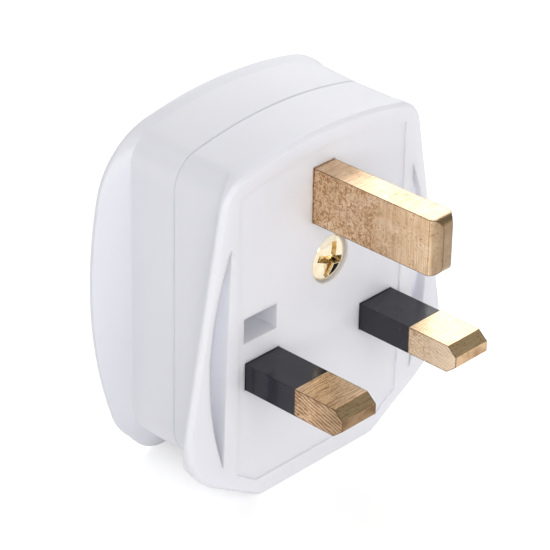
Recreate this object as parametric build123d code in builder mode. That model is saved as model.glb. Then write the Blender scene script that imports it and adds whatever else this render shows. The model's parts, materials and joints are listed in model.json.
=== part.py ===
from build123d import *
import os

# Thirteen-ampere three-pin plug, all sizes in millimetres.
# X runs to the neutral side, Y runs backwards from the pin face, Z runs up to the earth pin.
# The origin is on the pin face, midway between the line and neutral pins.

# Pins
pin_spacing = 22.2
live_pin_width = 6.35
live_pin_height = 4.0
live_pin_reach = 17.15
live_pin_bevel = 1.5
live_pin_nose = 1.5
earth_pin_width = 4.0
earth_pin_height = 8.0
earth_pin_reach = 21.15
earth_pin_bevel = 1.45
earth_pin_nose = 1.65
earth_end_radius = 1.4
pin_slot_clearance = 0.1
sleeve_reach = 8.8
sleeve_thickness = 0.55

# Housing walls and seam
wall = 2.0
front_wall = 2.6
back_wall = 2.4
base_depth = 9.5
seam_chamfer = 0.16
lip_thickness = 0.6
lip_clearance = 0.1
lip_reach = 1.0
lip_root = 0.8
lip_length = 18.0
lip_z = 5.0

# Pin panel, a shallow recess in the face
panel_recess = 0.3
panel_half_width = 15.75
panel_corner_drop = 2.8
panel_low_z = -17.0
panel_low_cut = 3.6
panel_low_rise = 2.4

# Terminals
terminal_gap = 0.2
rib_thickness = 0.7
rib_height = 5.8
pillar_depth = 8.6
earth_pillar_width = 6.0
earth_pillar_height = 9.6
neutral_pillar_width = 7.4
neutral_pillar_height = 9.0
neutral_pillar_rise = 1.9
conductor_radius = 1.5
conductor_wall = 2.4
clamp_head_radius = 1.9
clamp_head_height = 1.9
clamp_shank_radius = 1.5
clamp_open_height = 0.6
screw_slot_width = 0.8
screw_slot_depth = 0.9
thread_clearance = 0.04

# Cartridge fuse and its clips
fuse_length = 25.4
fuse_radius = 3.15
fuse_cap_length = 6.0
fuse_cap_wall = 0.3
clip_thickness = 0.5
clip_width = 3.0
clip_foot = 5.0
clip_clearance = 0.03
clip_opening = 4.8
clip_seat_y = 8.0
clip_end_gap = 0.2
fuse_side_gap = 0.15
fuse_end_gap = 1.0
line_terminal_height = 5.8

# Blind pocket above the line pin
pocket_width = 6.15
pocket_height = 3.7
pocket_depth = 7.0
pocket_x = -11.55
pocket_z = 6.95
pocket_wall = 0.9

# Cord grip and cable inlet
inlet_radius = 4.1
inlet_length = 5.0
inlet_wall = 1.4
cord_grip_z = -9.2
grip_bar_height = 5.2
grip_bar_thickness = 2.4
grip_bar_end = 3.0
grip_bar_gap = 1.6
grip_screw_spacing = 18.0
grip_boss_radius = 2.9
grip_boss_above_seam = 3.1
grip_head_radius = 2.5
grip_head_height = 1.6
grip_shank_radius = 1.45
grip_shank_length = 9.0
grip_bar_clearance = 0.15
saddle_half_width = 5.0
saddle_height = 2.4
back_gap = 0.8

# Cover screw
cover_screw_x = 1.75
cover_screw_z = 11.4
cover_head_radius = 3.3
cover_head_dome = 0.8
cover_head_land = 0.25
cover_head_sink = 0.5
cover_shank_radius = 1.95
cover_screw_length = 12.6
cover_recess_arm = 5.0
cover_recess_width = 1.15
cover_recess_depth = 1.9
cover_recess_taper = 10
cover_recess_turn = -19
countersink_clearance = 0.2
screw_hole_clearance = 0.15
washer_radius = 3.3
washer_thickness = 0.5
washer_clearance = 0.1
base_boss_height = 2.8
boss_wall = 1.5
nut_radius = 2.9
nut_length = 6.0
nut_clearance = 0.03
boss_end = 2.0

# Outside form: ears at the front, waist, and flared flange at the back
arch_radius = 65.0
top_gap = 2.5
foot_step = 1.7
waist_corner = 4.5
waist_low_cut = 5.7
waist_low_radius = 6.0
crease_rise = 0.5
ear_rim = 0.9
ear_edge = 0.5
ear_back_y = 5.3
ear_flare = 7.8
ear_low_z = -11.2
ear_foot_half = 11.0
ear_corner = 5.0
ear_low_radius = 10.0
ear_foot_radius = 4.0
scoop_wall = 1.1
scoop_lean = 1.1
scoop_width = 3.15
scoop_top_z = 20.0
scoop_low_z = -12.2
flange_rim = 0.9
flange_edge = 0.5
flange_top_rise = 0.8
flange_shoulder = 2.3
flange_bulge = 5.75
flange_bulge_z = 9.0
flange_low_flare = 1.4
flange_low_z = -13.9
flange_foot_half = 14.1
flange_corner = 11.8
flange_low_radius = 10.0
flange_foot_radius = 7.0

# Places that follow from the sizes above
line_x = -pin_spacing / 2
neutral_x = pin_spacing / 2
earth_z = pin_spacing
clip_inner = fuse_radius + clip_clearance
clip_outer = clip_inner + clip_thickness
fuse_y = clip_seat_y + clip_outer
rib_x = earth_pillar_width / 2 + terminal_gap + rib_thickness / 2
line_screw_x = -(rib_x + rib_thickness / 2 + terminal_gap + clamp_head_radius)
fuse_x = line_screw_x - clamp_head_radius - terminal_gap - clip_outer
cavity_half = -fuse_x + clip_outer + fuse_side_gap + lip_thickness + lip_clearance
waist_half = cavity_half + wall
waist_foot_z = cord_grip_z - grip_bar_height / 2 - grip_bar_gap - inlet_length
foot_z = waist_foot_z - foot_step
grip_seat_y = base_depth + grip_boss_above_seam
cavity_back_y = grip_seat_y + grip_bar_thickness + grip_head_height + back_gap
body_depth = cavity_back_y + back_wall
face_half = cavity_half + scoop_wall
pillar_top_y = front_wall + pillar_depth
conductor_y = front_wall + conductor_wall + conductor_radius
line_conductor_y = (front_wall + clip_seat_y) / 2
pocket_floor_y = panel_recess + pocket_depth
line_block_top = pocket_z - pocket_height / 2 - pocket_wall - 2 * terminal_gap
line_block_low = -live_pin_height / 2 - 2 * terminal_gap
clip_low_z = line_block_top - clip_end_gap - clip_width
fuse_low_z = clip_low_z - clip_end_gap
fuse_top_z = fuse_low_z + fuse_length
line_terminal_z = fuse_top_z - fuse_cap_length / 2
fuse_arch_drop = (clip_outer - fuse_x) ** 2 / (2 * arch_radius)
arch_top = wall + max(
    earth_z + earth_pillar_height / 2 + top_gap,
    fuse_top_z + fuse_end_gap + fuse_arch_drop,
)
boss_radius = nut_radius + boss_wall
base_boss_y = front_wall + base_boss_height
head_rim_y = panel_recess + cover_head_sink
cone_end_y = head_rim_y + cover_head_land + cover_head_radius - cover_shank_radius


def at_depth(y):
    """Plane across the plug at a depth behind the face, with X to the right and Z up."""
    return Plane.XZ.offset(-y)


def arch_z(x, top=arch_top):
    """Height of the arched top at a distance from the middle."""
    return top - x * x / (2 * arch_radius)


def outline(top, shoulder, low, foot, radii=None, bulge=None):
    """Symmetric outline: arched top, sides, slanted lower corners and a flat foot."""
    left = [(-x, z) for x, z in (shoulder, low, foot)]
    with BuildSketch() as section:
        with BuildLine():
            ThreePointArc(left[0], (0, top), shoulder)
            if bulge:
                ThreePointArc(shoulder, bulge, low)
                ThreePointArc(left[0], (-bulge[0], bulge[1]), left[1])
            else:
                Line(shoulder, low)
                Line(left[0], left[1])
            Polyline(low, foot, left[2], left[1])
        make_face()
        if radii:
            fillet(section.vertices().group_by(Axis.Y)[-1], radii[0])
            fillet(section.vertices().group_by(Axis.Y)[1], radii[1])
            fillet(section.vertices().group_by(Axis.Y)[0], radii[2])
    return section.sketch


def inset(section, amount):
    """A section drawn in by an amount all round."""
    with BuildSketch() as smaller:
        add(section)
        offset(amount=-amount)
    return smaller.sketch


# Grip section between the ears and the back flange, whose top rises a little towards the crease
waist_low = (waist_half, waist_foot_z + waist_low_cut)
waist_foot = (waist_half - waist_low_cut, waist_foot_z)
waist_radii = (waist_corner, waist_low_radius, waist_low_radius)
waist_shoulder = (waist_half, arch_z(waist_half))
waist_section = outline(arch_top, waist_shoulder, waist_low, waist_foot, waist_radii)
cavity_section = inset(waist_section, wall)
crease_top = arch_top + crease_rise
crease_shoulder = (waist_half, arch_z(waist_half, crease_top))
crease_section = outline(crease_top, crease_shoulder, waist_low, waist_foot, waist_radii)

# Front section, flared into an ear on each side
ear_low = (waist_half + ear_flare, ear_low_z)
ear_foot = (ear_foot_half, foot_z)
ear_radii = (ear_corner, ear_low_radius, ear_foot_radius)
ear_section = outline(arch_top, waist_shoulder, ear_low, ear_foot, ear_radii)

# Front plate before its corners are rounded, with the slope that leads from the ears to the waist
with BuildPart() as ear_blank:
    with BuildSketch(at_depth(0)):
        add(outline(arch_top, waist_shoulder, ear_low, ear_foot))
    extrude(amount=-ear_back_y)
    back = faces().sort_by(Axis.Y)[-1]
    rim = back.edges().sort_by(Axis.Z)[:-1]
    chamfer(rim, ear_flare, length2=ear_back_y - ear_rim, reference=back)

# Back section, bulged at the sides
flange_top = arch_top + flange_top_rise
flange_top_half = waist_half + flange_shoulder
flange_section = outline(
    flange_top,
    (flange_top_half, arch_z(flange_top_half, flange_top)),
    (waist_half + flange_low_flare, flange_low_z),
    (flange_foot_half, foot_z),
    (flange_corner, flange_low_radius, flange_foot_radius),
    bulge=(waist_half + flange_bulge, flange_bulge_z),
)

# Scoop beside the pin face, which leaves each ear as a thin flaring wall
scoop_out = face_half + scoop_lean / 2 + scoop_width
with BuildPart() as scoop:
    with BuildSketch(at_depth(0)):
        with BuildLine():
            ThreePointArc(
                (face_half, scoop_top_z),
                (scoop_out, (scoop_top_z + scoop_low_z) / 2),
                (face_half + scoop_lean, scoop_low_z),
            )
            Line((face_half + scoop_lean, scoop_low_z), (face_half, scoop_top_z))
        make_face()
    extrude(amount=-ear_back_y)
    add(ear_blank.part.moved(Location((0, -ear_rim, 0))), mode=Mode.INTERSECT)

# Corners of the recessed panel, from its top left down and round to its top right
panel_right = [
    (panel_half_width - panel_low_cut, panel_low_z),
    (panel_half_width, panel_low_z + panel_low_rise),
    (panel_half_width, arch_z(panel_half_width) - panel_corner_drop),
]
panel_corners = [(-x, z) for x, z in reversed(panel_right)] + panel_right

# Base: the front moulding that carries the pins
with BuildPart() as base:
    with BuildSketch(at_depth(0)):
        add(ear_section)
    extrude(amount=-ear_back_y)
    add(ear_blank.part, mode=Mode.INTERSECT)
    with BuildSketch(at_depth(ear_rim)):
        add(waist_section)
    extrude(amount=ear_rim - base_depth)
    chamfer(faces().sort_by(Axis.Y)[0].outer_wire().edges(), ear_edge)
    chamfer(faces().sort_by(Axis.Y)[-1].outer_wire().edges(), seam_chamfer)
    add(scoop.part, mode=Mode.SUBTRACT)
    add(mirror(scoop.part, about=Plane.YZ), mode=Mode.SUBTRACT)
    # Cavity behind the front wall
    with BuildSketch(at_depth(base_depth)):
        add(cavity_section)
    extrude(amount=base_depth - front_wall, mode=Mode.SUBTRACT)
    # Bosses of the cord grip and the cover screw, walls of the earth terminal, cord saddle
    with BuildSketch(at_depth(front_wall)):
        with Locations((0, cord_grip_z)):
            with GridLocations(grip_screw_spacing, 0, 2, 1):
                Circle(grip_boss_radius)
    extrude(amount=front_wall - grip_seat_y)
    with BuildSketch(at_depth(front_wall)):
        with Locations((cover_screw_x, cover_screw_z)):
            Circle(boss_radius)
    extrude(amount=-base_boss_height)
    with BuildSketch(at_depth(front_wall)):
        with Locations((-rib_x, earth_z), (rib_x, earth_z)):
            Rectangle(rib_thickness, earth_pillar_height)
    extrude(amount=-rib_height)
    with BuildSketch(at_depth(front_wall)):
        with Locations((0, cord_grip_z)):
            Rectangle(2 * saddle_half_width, saddle_height)
    extrude(amount=-(base_depth - inlet_radius - front_wall))
    # Lower half of the cable inlet
    with BuildSketch(Plane.XY.offset(waist_foot_z + wall)):
        with Locations((0, (front_wall + base_depth) / 2)):
            Rectangle(2 * (inlet_radius + inlet_wall), base_depth - front_wall)
    extrude(amount=inlet_length - wall)
    with BuildSketch(Plane.XY.offset(foot_z)):
        with Locations((0, base_depth)):
            Circle(inlet_radius)
    extrude(amount=foot_step + inlet_length, mode=Mode.SUBTRACT)
    # Blind pocket with its own walls inside
    with BuildSketch(at_depth(front_wall)):
        with Locations((pocket_x, pocket_z)):
            Rectangle(pocket_width + 2 * pocket_wall, pocket_height + 2 * pocket_wall)
    extrude(amount=front_wall - pocket_floor_y - pocket_wall)
    with BuildSketch(at_depth(0)):
        with Locations((pocket_x, pocket_z)):
            Rectangle(pocket_width, pocket_height)
    extrude(amount=-pocket_floor_y, mode=Mode.SUBTRACT)
    # Recessed panel, pin slots and countersunk screw hole
    with BuildSketch(at_depth(0)):
        with BuildLine():
            ThreePointArc(panel_corners[0], (0, arch_top - panel_corner_drop), panel_corners[-1])
            Polyline(*panel_corners)
        make_face()
    extrude(amount=-panel_recess, mode=Mode.SUBTRACT)
    with BuildSketch(at_depth(0)):
        with Locations((line_x, 0), (neutral_x, 0)):
            Rectangle(live_pin_width + 2 * pin_slot_clearance, live_pin_height + 2 * pin_slot_clearance)
        with Locations((0, earth_z)):
            Rectangle(earth_pin_width + 2 * pin_slot_clearance, earth_pin_height + 2 * pin_slot_clearance)
    extrude(amount=-front_wall, mode=Mode.SUBTRACT)
    with BuildSketch(Plane((cover_screw_x, 0, cover_screw_z), x_dir=(0, 1, 0), z_dir=(1, 0, 0))):
        Polygon(
            (0, 0),
            (0, cover_head_radius + countersink_clearance),
            (head_rim_y + cover_head_land, cover_head_radius + countersink_clearance),
            (cone_end_y, cover_shank_radius + countersink_clearance),
            (base_boss_y - washer_thickness, cover_shank_radius + countersink_clearance),
            (base_boss_y - washer_thickness, washer_radius + washer_clearance),
            (base_boss_y, washer_radius + washer_clearance),
            (base_boss_y, 0),
            align=None,
        )
    revolve(axis=Axis((cover_screw_x, 0, cover_screw_z), (0, 1, 0)), mode=Mode.SUBTRACT)
    # Pilot holes for the cord grip screws
    with BuildSketch(at_depth(grip_seat_y)):
        with Locations((0, cord_grip_z)):
            with GridLocations(grip_screw_spacing, 0, 2, 1):
                Circle(grip_shank_radius + thread_clearance)
    extrude(amount=grip_shank_length, mode=Mode.SUBTRACT)

# Cover: the walls behind the seam, up to the crease where the flange begins
with BuildPart() as cover:
    with BuildSketch(at_depth(base_depth)):
        add(waist_section)
    with BuildSketch(at_depth(cavity_back_y)):
        add(crease_section)
    loft(ruled=True)
    chamfer(faces().sort_by(Axis.Y)[0].outer_wire().edges(), seam_chamfer)
    with BuildSketch(at_depth(base_depth)):
        add(cavity_section)
    extrude(amount=base_depth - cavity_back_y, mode=Mode.SUBTRACT)
    # Locating lip on each side that enters the base
    with BuildSketch(at_depth(base_depth - lip_reach)):
        with Locations((0, lip_z)):
            with GridLocations(2 * (cavity_half - lip_clearance) - lip_thickness, 0, 2, 1):
                Rectangle(lip_thickness, lip_length)
    extrude(amount=-lip_reach)
    with BuildSketch(at_depth(base_depth)):
        with Locations((0, lip_z)):
            with GridLocations(2 * cavity_half - lip_clearance - lip_thickness, 0, 2, 1):
                Rectangle(lip_clearance + lip_thickness, lip_length)
    extrude(amount=-lip_root)
    # Upper half of the cable inlet
    with BuildSketch(Plane.XY.offset(waist_foot_z + wall)):
        with Locations((0, (base_depth + cavity_back_y) / 2)):
            Rectangle(2 * (inlet_radius + inlet_wall), cavity_back_y - base_depth)
    extrude(amount=inlet_length - wall)
    with BuildSketch(Plane.XY.offset(foot_z)):
        with Locations((0, base_depth)):
            Circle(inlet_radius)
    extrude(amount=foot_step + inlet_length, mode=Mode.SUBTRACT)

# Back of the cover: the flared flange and the boss for the cover screw
with BuildPart() as cover_back:
    with BuildSketch(at_depth(cavity_back_y)):
        add(crease_section)
    with BuildSketch(at_depth(body_depth - flange_rim)):
        add(flange_section)
    loft(ruled=True)
    with BuildSketch(at_depth(body_depth - flange_rim)):
        add(flange_section)
    extrude(amount=-flange_rim)
    chamfer(faces().sort_by(Axis.Y)[-1].outer_wire().edges(), flange_edge)
    # Boss with the nut pocket and the screw's run-out hole
    with BuildSketch(at_depth(base_boss_y)):
        with Locations((cover_screw_x, cover_screw_z)):
            Circle(boss_radius)
    extrude(amount=base_boss_y - cavity_back_y)
    with BuildSketch(at_depth(base_boss_y)):
        with Locations((cover_screw_x, cover_screw_z)):
            RegularPolygon(nut_radius + nut_clearance, 6)
    extrude(amount=-nut_length, mode=Mode.SUBTRACT)
    with BuildSketch(at_depth(base_boss_y)):
        with Locations((cover_screw_x, cover_screw_z)):
            Circle(cover_shank_radius + screw_hole_clearance)
    extrude(amount=base_boss_y - cavity_back_y + boss_end, mode=Mode.SUBTRACT)


def live_pin(x, block_low, block_top, block_left, block_right, block_back):
    """Line or neutral pin with a bevelled tip, a neck under its sleeve and its inner block."""
    tip = panel_recess - live_pin_reach
    bevel = tip + live_pin_bevel
    half = live_pin_height / 2
    nose = live_pin_nose / 2
    with BuildPart() as pin:
        with BuildSketch(Plane.YZ.offset(x - live_pin_width / 2)):
            Polygon(
                (front_wall, -half),
                (bevel, -half),
                (tip, -nose),
                (tip, nose),
                (bevel, half),
                (front_wall, half),
                align=None,
            )
        extrude(amount=live_pin_width)
        with BuildSketch(at_depth(panel_recess - sleeve_reach)):
            with Locations((x, 0)):
                Rectangle(live_pin_width, live_pin_height)
                Rectangle(
                    live_pin_width - 2 * sleeve_thickness,
                    live_pin_height - 2 * sleeve_thickness,
                    mode=Mode.SUBTRACT,
                )
        extrude(amount=panel_recess - sleeve_reach - front_wall, mode=Mode.SUBTRACT)
        with BuildSketch(at_depth(front_wall)):
            with Locations(((block_left + block_right) / 2, (block_low + block_top) / 2)):
                Rectangle(block_right - block_left, block_top - block_low)
        extrude(amount=front_wall - block_back)
    return pin


def sleeve(x):
    """Insulating sleeve, flush with the pin around it."""
    with BuildPart() as tube:
        with BuildSketch(at_depth(panel_recess - sleeve_reach)):
            with Locations((x, 0)):
                Rectangle(live_pin_width, live_pin_height)
                Rectangle(
                    live_pin_width - 2 * sleeve_thickness,
                    live_pin_height - 2 * sleeve_thickness,
                    mode=Mode.SUBTRACT,
                )
        extrude(amount=panel_recess - sleeve_reach - front_wall)
    return tube


def terminal_holes(x, z, hole_y, top_y, low_z, high_z):
    """Conductor hole along Z and clamp screw hole along Y, as the body to cut away."""
    with BuildPart() as holes:
        with BuildSketch(Plane.XY.offset(low_z)):
            with Locations((x, hole_y)):
                Circle(conductor_radius)
        extrude(amount=high_z - low_z)
        with BuildSketch(at_depth(top_y)):
            with Locations((x, z)):
                Circle(clamp_shank_radius + thread_clearance)
        extrude(amount=top_y - hole_y)
    return holes.part


def slotted_screw(x, z, seat_y, end_y, head_radius, head_height, shank_radius):
    """Cheese-head screw that points forwards, with its slot across the head."""
    with BuildPart() as screw:
        with BuildSketch(at_depth(seat_y)):
            with Locations((x, z)):
                Circle(head_radius)
        extrude(amount=-head_height)
        with BuildSketch(at_depth(seat_y)):
            with Locations((x, z)):
                Circle(shank_radius)
        extrude(amount=seat_y - end_y)
        with BuildSketch(at_depth(seat_y + head_height)):
            with Locations((x, z)):
                Rectangle(2 * head_radius, screw_slot_width, rotation=30)
        extrude(amount=screw_slot_depth, mode=Mode.SUBTRACT)
    return screw


def fuse_clip(low_z):
    """Sprung clip round a fuse cap, with a flat foot."""
    with BuildPart() as clip:
        with BuildSketch(Plane.XY.offset(low_z)):
            with Locations((fuse_x, fuse_y)):
                Circle(clip_outer)
            with Locations((fuse_x, fuse_y - clip_inner - clip_thickness / 2)):
                Rectangle(clip_foot, clip_thickness)
            with Locations((fuse_x, fuse_y)):
                Circle(clip_inner, mode=Mode.SUBTRACT)
            with Locations((fuse_x, fuse_y + clip_outer)):
                Rectangle(clip_opening, 2 * clip_outer, mode=Mode.SUBTRACT)
        extrude(amount=clip_width)
    return clip


def fuse_section(low_z, length, radius):
    """Round length of the cartridge fuse, from its lower end up."""
    with BuildPart() as section:
        with BuildSketch(Plane((fuse_x, fuse_y, low_z))):
            Circle(radius)
        extrude(amount=length)
    return section


# Neutral pin with its pillar terminal
neutral_low = neutral_pillar_rise - neutral_pillar_height / 2
neutral_top = neutral_pillar_rise + neutral_pillar_height / 2
neutral_left = neutral_x - neutral_pillar_width / 2
neutral_right = neutral_x + neutral_pillar_width / 2
neutral_blank = live_pin(neutral_x, neutral_low, neutral_top, neutral_left, neutral_right, pillar_top_y)
neutral_holes = terminal_holes(
    neutral_x, neutral_pillar_rise, conductor_y, pillar_top_y, neutral_low, neutral_top
)
with BuildPart() as neutral_pin:
    add(neutral_blank.part)
    add(neutral_holes, mode=Mode.SUBTRACT)

# Line pin, whose block carries the lower fuse clip
line_left = min(fuse_x - clip_foot / 2, line_x - live_pin_width / 2) - terminal_gap
line_right = max(fuse_x + clip_foot / 2, line_x + live_pin_width / 2) + terminal_gap
line_pin = live_pin(line_x, line_block_low, line_block_top, line_left, line_right, clip_seat_y)

neutral_pin_sleeve = sleeve(neutral_x)
line_pin_sleeve = sleeve(line_x)

# Earth pin with its pillar terminal: bevelled sides and rounded edges at its end
earth_tip = panel_recess - earth_pin_reach
earth_half = earth_pin_width / 2
earth_low = earth_z - earth_pillar_height / 2
earth_top = earth_z + earth_pillar_height / 2
earth_holes = terminal_holes(0, earth_z, conductor_y, pillar_top_y, earth_low, earth_top)
with BuildPart() as earth_pin:
    with BuildSketch(Plane.XY.offset(earth_z - earth_pin_height / 2)):
        with BuildLine():
            Polyline(
                (-earth_half, front_wall),
                (-earth_half, earth_tip + earth_pin_bevel),
                (-earth_pin_nose / 2, earth_tip),
                (earth_pin_nose / 2, earth_tip),
                (earth_half, earth_tip + earth_pin_bevel),
                (earth_half, front_wall),
                close=True,
            )
        make_face()
    extrude(amount=earth_pin_height)
    with BuildSketch(Plane.YZ.offset(-earth_half)) as side:
        with Locations(((earth_tip + front_wall) / 2, earth_z)):
            Rectangle(front_wall - earth_tip, earth_pin_height)
        fillet(side.vertices().group_by(Axis.X)[0], earth_end_radius)
    extrude(amount=earth_pin_width, mode=Mode.INTERSECT)
    with BuildSketch(at_depth(front_wall)):
        with Locations((0, earth_z)):
            Rectangle(earth_pillar_width, earth_pillar_height)
    extrude(amount=-pillar_depth)
    add(earth_holes, mode=Mode.SUBTRACT)

# Line terminal under the upper fuse clip, with its screw beside the fuse
terminal_left = fuse_x - clip_foot / 2 - terminal_gap
terminal_right = line_screw_x + clamp_head_radius
terminal_low = line_terminal_z - line_terminal_height / 2
terminal_top = line_terminal_z + line_terminal_height / 2
line_holes = terminal_holes(
    line_screw_x, line_terminal_z, line_conductor_y, clip_seat_y, terminal_low, terminal_top
)
with BuildPart() as line_terminal:
    with BuildSketch(at_depth(front_wall)):
        with Locations(((terminal_left + terminal_right) / 2, line_terminal_z)):
            Rectangle(terminal_right - terminal_left, line_terminal_height)
    extrude(amount=front_wall - clip_seat_y)
    add(line_holes, mode=Mode.SUBTRACT)


def clamp_screw(x, z, hole_y, top_y):
    """Terminal screw, backed out of its pillar by the open height."""
    return slotted_screw(
        x,
        z,
        top_y + clamp_open_height,
        hole_y + conductor_radius,
        clamp_head_radius,
        clamp_head_height,
        clamp_shank_radius,
    )


earth_terminal_screw = clamp_screw(0, earth_z, conductor_y, pillar_top_y)
neutral_terminal_screw = clamp_screw(neutral_x, neutral_pillar_rise, conductor_y, pillar_top_y)
line_terminal_screw = clamp_screw(line_screw_x, line_terminal_z, line_conductor_y, clip_seat_y)

# Fuse: ceramic tube between two caps
fuse_tube = fuse_section(
    fuse_low_z + fuse_cap_length, fuse_length - 2 * fuse_cap_length, fuse_radius - fuse_cap_wall
)
fuse_cap_lower = fuse_section(fuse_low_z, fuse_cap_length, fuse_radius)
fuse_cap_upper = fuse_section(fuse_top_z - fuse_cap_length, fuse_cap_length, fuse_radius)
fuse_clip_pin_end = fuse_clip(clip_low_z)
fuse_clip_terminal_end = fuse_clip(line_terminal_z - clip_width / 2)

# Cord grip bar and its screws
with BuildPart() as cord_grip_bar:
    with BuildSketch(at_depth(grip_seat_y)):
        with Locations((0, cord_grip_z)):
            Rectangle(grip_screw_spacing + 2 * grip_bar_end, grip_bar_height)
            with GridLocations(grip_screw_spacing, 0, 2, 1):
                Circle(grip_shank_radius + grip_bar_clearance, mode=Mode.SUBTRACT)
    extrude(amount=-grip_bar_thickness)
grip_top_y = grip_seat_y + grip_bar_thickness
grip_screws = [
    slotted_screw(
        side * grip_screw_spacing / 2,
        cord_grip_z,
        grip_top_y,
        grip_seat_y - grip_shank_length,
        grip_head_radius,
        grip_head_height,
        grip_shank_radius,
    )
    for side in (-1, 1)
]

# Cover screw with a raised countersunk head and a cross recess
with BuildPart() as cover_screw:
    with BuildSketch(Plane((cover_screw_x, 0, cover_screw_z), x_dir=(0, 1, 0), z_dir=(1, 0, 0))):
        with BuildLine():
            apex = (head_rim_y - cover_head_dome, 0)
            rim = (head_rim_y, cover_head_radius)
            end = head_rim_y + cover_screw_length
            RadiusArc(apex, rim, (cover_head_radius**2 + cover_head_dome**2) / (2 * cover_head_dome))
            Polyline(
                rim,
                (head_rim_y + cover_head_land, cover_head_radius),
                (cone_end_y, cover_shank_radius),
                (end, cover_shank_radius),
                (end, 0),
                apex,
            )
        make_face()
    revolve(axis=Axis((cover_screw_x, 0, cover_screw_z), (0, 1, 0)))
    with BuildSketch(at_depth(head_rim_y - cover_head_dome)):
        with Locations((cover_screw_x, cover_screw_z)):
            Rectangle(cover_recess_arm, cover_recess_width, rotation=cover_recess_turn)
            Rectangle(cover_recess_width, cover_recess_arm, rotation=cover_recess_turn)
    extrude(amount=-cover_recess_depth, taper=cover_recess_taper, mode=Mode.SUBTRACT)

with BuildPart() as cover_screw_washer:
    with BuildSketch(at_depth(base_boss_y - washer_thickness)):
        with Locations((cover_screw_x, cover_screw_z)):
            Circle(washer_radius)
            Circle(cover_shank_radius + washer_clearance, mode=Mode.SUBTRACT)
    extrude(amount=-washer_thickness)

with BuildPart() as cover_nut:
    with BuildSketch(at_depth(base_boss_y)):
        with Locations((cover_screw_x, cover_screw_z)):
            RegularPolygon(nut_radius, 6)
            Circle(cover_shank_radius + thread_clearance, mode=Mode.SUBTRACT)
    extrude(amount=-nut_length)

pieces = {
    "base": base,
    "cover": cover,
    "cover_back": cover_back,
    "earth_pin": earth_pin,
    "neutral_pin": neutral_pin,
    "line_pin": line_pin,
    "neutral_pin_sleeve": neutral_pin_sleeve,
    "line_pin_sleeve": line_pin_sleeve,
    "earth_terminal_screw": earth_terminal_screw,
    "neutral_terminal_screw": neutral_terminal_screw,
    "line_terminal_screw": line_terminal_screw,
    "line_terminal": line_terminal,
    "fuse_tube": fuse_tube,
    "fuse_cap_lower": fuse_cap_lower,
    "fuse_cap_upper": fuse_cap_upper,
    "fuse_clip_pin_end": fuse_clip_pin_end,
    "fuse_clip_terminal_end": fuse_clip_terminal_end,
    "cord_grip_bar": cord_grip_bar,
    "cord_grip_screw_left": grip_screws[0],
    "cord_grip_screw_right": grip_screws[1],
    "cover_screw": cover_screw,
    "cover_screw_washer": cover_screw_washer,
    "cover_nut": cover_nut,
}
os.makedirs("parts", exist_ok=True)
for name, piece in pieces.items():
    piece.part.label = name
    export_step(piece.part, f"parts/{name}.step")
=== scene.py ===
import json
import math
import bpy
from mathutils import Matrix, Vector


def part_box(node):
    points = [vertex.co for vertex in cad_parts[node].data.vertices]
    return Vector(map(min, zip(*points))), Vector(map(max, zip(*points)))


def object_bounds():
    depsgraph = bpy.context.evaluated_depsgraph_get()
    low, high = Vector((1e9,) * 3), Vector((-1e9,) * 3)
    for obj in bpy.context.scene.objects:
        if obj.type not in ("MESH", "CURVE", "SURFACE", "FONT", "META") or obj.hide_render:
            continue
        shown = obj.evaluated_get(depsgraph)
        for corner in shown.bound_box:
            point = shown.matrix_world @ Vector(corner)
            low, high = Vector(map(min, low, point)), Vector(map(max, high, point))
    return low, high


# Every size is in metres unless it says otherwise, and a texture's scale is in features per metre.
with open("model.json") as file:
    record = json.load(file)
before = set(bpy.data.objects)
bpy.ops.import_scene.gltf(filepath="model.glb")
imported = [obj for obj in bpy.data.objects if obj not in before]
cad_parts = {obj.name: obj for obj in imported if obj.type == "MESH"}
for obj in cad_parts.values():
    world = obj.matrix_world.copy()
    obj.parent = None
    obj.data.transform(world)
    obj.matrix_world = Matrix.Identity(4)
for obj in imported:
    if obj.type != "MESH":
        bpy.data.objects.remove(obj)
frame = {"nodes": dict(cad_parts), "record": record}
cad_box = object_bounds()
scene = bpy.context.scene
scene.view_settings.view_transform = "Standard"

PHOTO_WIDTH = 550  # pixels
SENSOR_WIDTH = 36  # millimetres
WHITE = (1, 1, 1, 1)
PLUG_MIDDLE = Vector((0, 0, 0.01))
FLOOR_HALF_WIDTH = 3.0
FLOOR_GLOW = 0.42
# The longest distance that a fade along the part covers.
FADE_REACH = 0.025
# The panel of the pin face keeps its fine edges sharp. Its top is an arch over x.
PANEL_HALF_WIDTH = 0.0163
PANEL_TOP = 0.0298
PANEL_TOP_CURVE = 7.7
PANEL_BOTTOM = -0.018
OUTER_EDGE_RADIUS = 0.00032
# cover and cover_back are one moulding that is split at the crease, so the crease is left alone.
CREASE_Y = 0.0174
CREASE_HALF_WIDTH = 0.0006
# The line and neutral pins, the live ones, are below this height, and line is on the -X side.
LIVE_TOP = 0.012
SAW_ANGLE = math.radians(18)
# A face is an end of a pin where its normal leans along the pin by more than this.
END_FACING = 0.9


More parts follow.
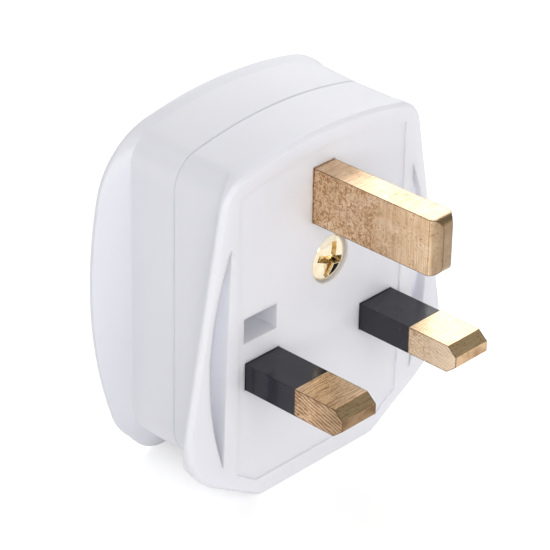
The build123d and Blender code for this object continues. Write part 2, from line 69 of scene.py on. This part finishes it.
class Surface:
    """A principled material and short calls that build the textures which feed it."""

    def __init__(self, name, metallic=0.0):
        self.material = bpy.data.materials.new(name)
        self.material.use_nodes = True
        self.tree = self.material.node_tree
        self.shader = self.tree.nodes["Principled BSDF"]
        self.shader.inputs["Metallic"].default_value = metallic
        self.place = self.add("ShaderNodeTexCoord").outputs["Object"]

    def add(self, kind, **inputs):
        """New node whose inputs are values or links, named with _ for a space."""
        node = self.tree.nodes.new(kind)
        for key, value in inputs.items():
            self.feed(node.inputs[key.replace("_", " ")], value)
        return node

    def feed(self, socket, value):
        """Set a socket to a value, or link it to an output."""
        if isinstance(value, bpy.types.NodeSocket):
            self.tree.links.new(value, socket)
        else:
            socket.default_value = value

    def noise(self, scale, detail=3.0, stretch=(1, 1, 1), roughness=0.5, distortion=0.0):
        """Cloudy pattern, drawn out along the axes."""
        place = self.add("ShaderNodeMapping", Vector=self.place, Scale=stretch)
        place.vector_type = "TEXTURE"
        node = self.add(
            "ShaderNodeTexNoise",
            Vector=place.outputs[0],
            Scale=scale,
            Detail=detail,
            Roughness=roughness,
            Distortion=distortion,
        )
        return node.outputs["Fac"]

    def ramp(self, fac, *stops):
        """Colours or grey levels along a factor, as (position, colour) stops."""
        node = self.add("ShaderNodeValToRGB", Fac=fac)
        elements = node.color_ramp.elements
        while len(elements) < len(stops):
            elements.new(0.5)
        for element, (position, colour) in zip(elements, stops):
            element.position = position
            element.color = (*colour, 1) if isinstance(colour, tuple) else (colour,) * 3 + (1,)
        return node.outputs["Color"]

    def fade(self, distance, *stops):
        """Colours or grey levels along a distance, as (distance, colour) stops."""
        stops = [(place / FADE_REACH, colour) for place, colour in stops]
        return self.ramp(self.times(distance, 1 / FADE_REACH), *stops)

    def mix(self, fac, first, second, blend="MIX"):
        """Blend of a colour with a second one, which is a link or three numbers."""
        node = self.tree.nodes.new("ShaderNodeMix")
        node.data_type = "RGBA"
        node.blend_type = blend
        if isinstance(second, tuple):
            second = (*second, 1)
        sockets = [s for s in node.inputs if s.enabled]
        for socket, value in zip(sockets, (fac, first, second)):
            self.feed(socket, value)
        return [s for s in node.outputs if s.enabled][0]

    def math(self, operation, *values):
        """Number worked out from values or links."""
        node = self.tree.nodes.new("ShaderNodeMath")
        node.operation = operation
        for socket, value in zip(node.inputs, values):
            self.feed(socket, value)
        return node.outputs[0]

    def times(self, first, second):
        """Product of two numbers."""
        return self.math("MULTIPLY", first, second)

    def absolute(self, value):
        """Number without its sign."""
        return self.math("ABSOLUTE", value)

    def capped(self, value, gain):
        """Number times a gain, and one at most."""
        return self.math("MINIMUM", self.times(value, gain), 1.0)

    def split(self, vector):
        """X, Y and Z of a vector."""
        return self.add("ShaderNodeSeparateXYZ", Vector=vector).outputs

    def bump(self, height, distance, strength, below=None):
        """Relief from a height pattern, on top of the relief below."""
        node = self.add("ShaderNodeBump", Height=height, Distance=distance, Strength=strength)
        if below:
            self.feed(node.inputs["Normal"], below)
        return node.outputs[0]

    def rounded(self, radius):
        """Normals that turn softly over each sharp edge."""
        node = self.add("ShaderNodeBevel", Radius=radius)
        node.samples = 6
        return node.outputs[0]

    def edge(self, soft, flat, gain):
        """How far the softened normals lean from the flat ones, which marks the edges."""
        node = self.tree.nodes.new("ShaderNodeVectorMath")
        node.operation = "DISTANCE"
        self.feed(node.inputs[0], soft)
        self.feed(node.inputs[1], flat)
        return self.capped(node.outputs["Value"], gain)

    def dress(self, **inputs):
        """Feed the shader's own inputs and return the material."""
        for key, value in inputs.items():
            self.feed(self.shader.inputs[key.replace("_", " ")], value)
        return self.material


def housing_plastic():
    """White moulding: faint flow clouds, fine grain, soft outer edges, scattering in front."""
    s = Surface("white_plastic")
    clouds = s.noise(90, detail=4, stretch=(1, 1, 2.5))
    colour = s.ramp(clouds, (0.3, (0.832, 0.834, 0.888)), (0.7, (0.852, 0.854, 0.904)))
    gloss = s.ramp(s.noise(1300, detail=4), (0.3, 0.36), (0.7, 0.42))

    x, y, z = s.split(s.place)
    arch = s.math("MULTIPLY_ADD", s.math("POWER", x, 2.0), PANEL_TOP_CURVE, z)
    beside = s.math("GREATER_THAN", s.absolute(x), PANEL_HALF_WIDTH)
    above = s.math("GREATER_THAN", arch, PANEL_TOP)
    below = s.math("LESS_THAN", z, PANEL_BOTTOM)
    outside = s.math("MAXIMUM", s.math("MAXIMUM", beside, above), below)
    from_crease = s.absolute(s.math("SUBTRACT", y, CREASE_Y))
    off_crease = s.math("GREATER_THAN", from_crease, CREASE_HALF_WIDTH)
    edges = s.rounded(s.times(s.times(outside, OUTER_EDGE_RADIUS), off_crease))
    grain = s.noise(5200, detail=2)
    relief = s.bump(grain, distance=0.00002, strength=0.12, below=edges)

    # Scattering would draw a dark line where two meshes meet, so it ends before the crease.
    glow = s.fade(y, (0.002, 0.9), (0.006, 0.0))
    s.dress(Subsurface_Weight=glow, Subsurface_Radius=(1.0, 1.0, 1.0), Subsurface_Scale=0.0012)
    return s.dress(Base_Color=colour, Roughness=gloss, Normal=relief)


def tool_marks(s, live, side):
    """Marks of cutting: milled on the earth pin, sawn sides and filed tops on the live pins."""
    milled = s.noise(3300, stretch=(14, 1, 14), roughness=0.6)
    filed = s.noise(5200, detail=2, stretch=(16, 1, 16), roughness=0.6)
    place = s.add("ShaderNodeMapping", Vector=s.place, Rotation=(SAW_ANGLE, 0, 0))
    place.vector_type = "TEXTURE"
    cuts = s.add("ShaderNodeTexWave", Vector=place.outputs[0], Scale=620, Distortion=4, Detail=2)
    cuts.bands_direction = "Z"
    breaks = s.noise(1700, detail=2, stretch=(1, 2.5, 1), roughness=0.6)
    middle, strength = 0.5, 2.4
    breaks = s.times(s.math("SUBTRACT", breaks, middle), strength)
    sawn = s.ramp(s.math("ADD", cuts.outputs["Fac"], breaks), (0.2, 0.30), (0.55, 0.6))
    return s.mix(live, milled, s.mix(side, filed, sawn))


def pin_brass():
    """Cut brass: tool marks, pits, the earth pin's mottled root, and painted light: painted
    reflections on the bevels and neutral sides, and painted shade darkening the live ends, line
    sides, sideways edges and the earth pin's tip.
    """
    s = Surface("pin_brass", metallic=1.0)
    flat = s.add("ShaderNodeNewGeometry").outputs["Normal"]
    x, y, z = s.split(s.place)
    across, along, up = s.split(flat)
    reach = s.times(y, -1.0)
    side = s.absolute(across)
    level = s.absolute(up)
    slant = s.absolute(s.times(along, up))
    live = s.math("LESS_THAN", z, LIVE_TOP)
    line = s.times(live, s.math("LESS_THAN", x, 0.0))
    neutral = s.math("SUBTRACT", live, line)

    # Uneven tarnish, which is lighter on the live pins.
    tarnish = s.noise(430, detail=6, stretch=(1, 1.7, 1), roughness=0.6)
    colour = s.ramp(
        tarnish,
        (0.30, (0.73, 0.51, 0.31)),
        (0.50, (0.81, 0.58, 0.37)),
        (0.70, (0.88, 0.67, 0.46)),
    )
    lighter = s.times(live, 0.6)
    colour = s.mix(lighter, colour, (0.94, 0.69, 0.42))

    # Tool marks, stronger on the live pins than on the earth pin or the neutral pin's top.
    marks = tool_marks(s, live, side)
    on_earth, more_on_live, less_on_neutral_top = 0.32, 0.44, -0.5
    depth = s.math("MULTIPLY_ADD", live, more_on_live, on_earth)
    depth = s.math("MULTIPLY_ADD", s.times(neutral, level), less_on_neutral_top, depth)
    grooves = s.ramp(marks, (0.36, (0.42, 0.30, 0.20)), (0.54, 1.0))
    colour = s.mix(depth, colour, grooves, "MULTIPLY")

    # Bevels painted a brighter gold and the neutral pin's sides painted paler, as painted
    # reflections, and painted shade that darkens both live pins' ends and the line pin's sides.
    # Painted reflection: the bevels are painted a brighter gold.
    colour = s.mix(slant, colour, (1.0, 0.72, 0.36))
    # Painted reflection: the neutral pin's sideways faces are painted paler.
    pale = s.times(s.times(neutral, side), 0.7)
    colour = s.mix(pale, colour, (0.99, 0.80, 0.57))
    # Painted shade: both live pins' end faces are darkened.
    ends = s.times(live, s.math("GREATER_THAN", s.absolute(along), END_FACING))
    colour = s.mix(ends, colour, (0.74, 0.70, 0.66), "MULTIPLY")
    # Painted shade: the line pin's upright faces are darkened, most some way out from the face.
    upright = s.math("SUBTRACT", 1.0, level)
    line_side_shade = s.fade(
        reach,
        (0.0110, (0.71, 0.68, 0.70)),
        (0.0156, (0.46, 0.43, 0.43)),
        (0.0170, (0.50, 0.46, 0.44)),
    )
    colour = s.mix(s.times(line, upright), colour, line_side_shade, "MULTIPLY")

    # A mottled stain that ends raggedly some way out from the face, and painted shade that darkens
    # the earth pin's tip.
    unevenness = 0.014
    ragged = s.math("MULTIPLY_ADD", s.noise(330), -unevenness, reach)
    root = s.fade(ragged, (0.00025, 0.9), (0.00775, 0.0))
    mottle = s.noise(1500, detail=4, roughness=0.6, distortion=1.6)
    stain = s.ramp(mottle, (0.40, (0.52, 0.34, 0.17)), (0.55, 1.0))
    colour = s.mix(s.times(root, side), colour, stain, "MULTIPLY")
    # Painted shade: the earth pin's bevelled tip is darkened towards its end.
    tip = s.fade(reach, (0.0195, 1.0), (0.0198, 0.62), (0.02115, 0.4))
    colour = s.mix(1.0, colour, tip, "MULTIPLY")

    # Pits in patches and all over the bevels, and painted shade that darkens the edges along the
    # sides.
    patches = s.ramp(s.noise(300), (0.48, 0.0), (0.62, 1.0))
    specks = s.noise(3000, detail=4, stretch=(1, 1.25, 1), roughness=0.6)
    specks = s.ramp(specks, (0.57, 0.0), (0.65, 1.0))
    pits = s.times(s.math("MAXIMUM", patches, slant), specks)
    colour = s.mix(pits, colour, (0.28, 0.16, 0.08))
    # Painted shade: rounded edges whose normals lean sideways are darkened.
    rim = s.rounded(radius=0.00024)
    sideways = s.capped(s.absolute(s.split(rim)["X"]), gain=4.0)
    edge_shade = s.times(s.edge(rim, flat, gain=2.2), sideways)
    colour = s.mix(edge_shade, colour, (0.14, 0.07, 0.035))

    smoother_on_live = -0.07
    gloss = s.ramp(tarnish, (0.3, 0.34), (0.7, 0.22))
    gloss = s.math("MULTIPLY_ADD", live, smoother_on_live, gloss)
    edges = s.rounded(radius=0.00012)
    relief = s.bump(marks, distance=0.00005, strength=0.7, below=edges)
    relief = s.bump(pits, distance=0.00004, strength=-0.4, below=relief)
    return s.dress(Base_Color=colour, Roughness=gloss, Normal=relief)


def sleeve_plastic():
    """Black glossy insulation with slow waves and a few pale scuffs."""
    s = Surface("sleeve")
    colour = s.ramp(s.noise(500), (0.3, (0.005, 0.003, 0.010)), (0.7, (0.009, 0.007, 0.016)))
    patches = s.ramp(s.noise(280, detail=2), (0.50, 0.0), (0.60, 1.0))
    scuffs = s.noise(2600, detail=2, stretch=(1, 2, 1), roughness=0.6)
    scuffs = s.ramp(scuffs, (0.66, 0.0), (0.72, 0.6))
    colour = s.mix(s.times(patches, scuffs), colour, (0.11, 0.10, 0.12))
    gloss = s.ramp(s.noise(400), (0.3, 0.10), (0.7, 0.22))
    waves = s.noise(230, detail=1)
    edges = s.rounded(radius=0.00014)
    relief = s.bump(waves, distance=0.0003, strength=0.3, below=edges)
    relief = s.bump(scuffs, distance=0.00004, strength=-0.5, below=relief)
    return s.dress(Base_Color=colour, Roughness=gloss, Normal=relief)


def turned_metal(name, dark, light, roughness, centre=(0, 0, 0)):
    """Bright turned metal with fine rings round a centre and a little unevenness."""
    s = Surface(name, metallic=1.0)
    colour = s.ramp(s.noise(800, detail=4), (0.3, dark), (0.7, light))
    place = s.add("ShaderNodeMapping", Vector=s.place, Location=[-v for v in centre])
    rings = s.add(
        "ShaderNodeTexWave", Vector=place.outputs[0], Scale=2200, Distortion=0.6, Detail=1
    )
    rings.wave_type = "RINGS"
    rings.rings_direction = "Y"
    roughest = 1.6 * roughness
    gloss = s.ramp(s.noise(1100), (0.3, roughness), (0.7, roughest))
    edges = s.rounded(radius=0.0001)
    relief = s.bump(rings.outputs["Fac"], distance=0.000004, strength=0.1, below=edges)
    return s.dress(Base_Color=colour, Roughness=gloss, Normal=relief)


def fired_ceramic():
    """Unglazed ceramic with fine speckle."""
    s = Surface("ceramic")
    colour = s.ramp(s.noise(1600, detail=4), (0.3, (0.70, 0.68, 0.62)), (0.7, (0.82, 0.80, 0.74)))
    relief = s.bump(s.noise(3000), distance=0.00002, strength=0.3)
    return s.dress(Base_Color=colour, Roughness=0.7, Normal=relief)


def middle_of(name):
    """Middle of a node's box."""
    low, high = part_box(name)
    return [(a + b) / 2 for a, b in zip(low, high)]


def add_floor(half_width, height):
    """White floor that looks lighter in the view and in gloss, with the object's shadow kept."""
    mesh = bpy.data.meshes.new("floor")
    turns = ((-1, -1), (1, -1), (1, 1), (-1, 1))
    corners = [(x * half_width, y * half_width, height) for x, y in turns]
    mesh.from_pydata(corners, [], [(0, 1, 2, 3)])
    floor = bpy.data.objects.new("floor", mesh)
    scene.collection.objects.link(floor)
    s = Surface("floor")
    colour = s.ramp(s.noise(2), (0.3, 0.90), (0.7, 0.92))
    s.dress(Base_Color=colour, Roughness=0.9, Specular_IOR_Level=0.0)
    path = s.add("ShaderNodeLightPath").outputs
    seen = s.math("MAXIMUM", path["Is Camera Ray"], path["Is Glossy Ray"])
    seen = s.math("MAXIMUM", seen, path["Is Transmission Ray"])
    s.dress(Emission_Color=WHITE, Emission_Strength=s.times(seen, FLOOR_GLOW))
    mesh.materials.append(s.material)


def add_softbox(name, direction, distance, size, radiance):
    """Square soft light that faces the plug, given by its brightness."""
    data = bpy.data.lights.new(name, "AREA")
    data.size = size
    data.energy = radiance * math.pi * size**2
    light = bpy.data.objects.new(name, data)
    aim = Vector(direction).normalized()
    turn = aim.to_track_quat("Z", "Y").to_matrix().to_4x4()
    light.matrix_world = Matrix.Translation(PLUG_MIDDLE + aim * distance) @ turn
    scene.collection.objects.link(light)


def add_sky(white_below, dim_above, dim):
    """Surroundings that are white round the horizon and dimmer overhead."""
    world = bpy.data.worlds.new("world")
    scene.world = world
    world.use_nodes = True
    tree = world.node_tree
    place = tree.nodes.new("ShaderNodeTexCoord")
    height = tree.nodes.new("ShaderNodeSeparateXYZ")
    level = tree.nodes.new("ShaderNodeMapRange")
    level.interpolation_type = "SMOOTHSTEP"
    limits = {"From Min": white_below, "From Max": dim_above, "To Min": 1.0, "To Max": dim}
    for key, value in limits.items():
        level.inputs[key].default_value = value
    shade = tree.nodes["Background"]
    shade.inputs["Color"].default_value = WHITE
    tree.links.new(place.outputs["Generated"], height.inputs[0])
    tree.links.new(height.outputs["Z"], level.inputs["Value"])
    tree.links.new(level.outputs["Result"], shade.inputs["Strength"])


def add_camera(azimuth, elevation, roll, distance, focal_px, target):
    """Camera that looks at the target from the photograph's side, with angles in degrees."""
    a, e, r = (math.radians(v) for v in (azimuth, elevation, roll))
    back = Vector((math.sin(a) * math.cos(e), -math.cos(a) * math.cos(e), math.sin(e)))
    right = Vector((math.cos(a), math.sin(a), 0))
    up = back.cross(right)
    across = right * math.cos(r) + up * math.sin(r)
    upward = up * math.cos(r) - right * math.sin(r)
    data = bpy.data.cameras.new("camera")
    data.sensor_width = SENSOR_WIDTH
    data.lens = focal_px / PHOTO_WIDTH * SENSOR_WIDTH
    data.clip_start = 0.01
    camera = bpy.data.objects.new("camera", data)
    turn = Matrix((across, upward, back)).transposed().to_4x4()
    camera.matrix_world = Matrix.Translation(Vector(target) + back * distance) @ turn
    scene.collection.objects.link(camera)
    scene.camera = camera


looks = {
    "housing": housing_plastic(),
    "pin_brass": pin_brass(),
    "sleeve": sleeve_plastic(),
    "bright_brass": turned_metal(
        "bright_brass", (0.84, 0.72, 0.50), (0.92, 0.83, 0.66), 0.05, middle_of("cover_screw")
    ),
    "plated_brass": turned_metal("plated_brass", (0.60, 0.60, 0.60), (0.72, 0.72, 0.71), 0.25),
    "ceramic": fired_ceramic(),
    "steel": turned_metal("steel", (0.52, 0.52, 0.54), (0.64, 0.64, 0.66), 0.28),
}
for part in frame["record"]["subparts"]:
    mesh = frame["nodes"][part["node"]].data
    mesh.materials.clear()
    mesh.materials.append(looks[part["material_slot"]])

add_floor(FLOOR_HALF_WIDTH, cad_box[0][2])
# The flat tops of the pins mirror the back softbox into the camera.
add_softbox("back", direction=(0.635, 0.594, 0.494), distance=0.7, size=0.55, radiance=1.95)
add_softbox("front", direction=(-0.36, -0.89, 0.25), distance=0.9, size=1.2, radiance=1.43)
add_softbox("top", direction=(-0.35, 0.3, 0.85), distance=0.8, size=0.5, radiance=1.4)
add_sky(white_below=0.1, dim_above=0.5, dim=0.28)
add_camera(
    azimuth=-46.895,
    elevation=29.571,
    roll=1.072,
    distance=0.362818,
    focal_px=2803.543,
    target=(-0.008987, 0.0003, 0.013227),
)
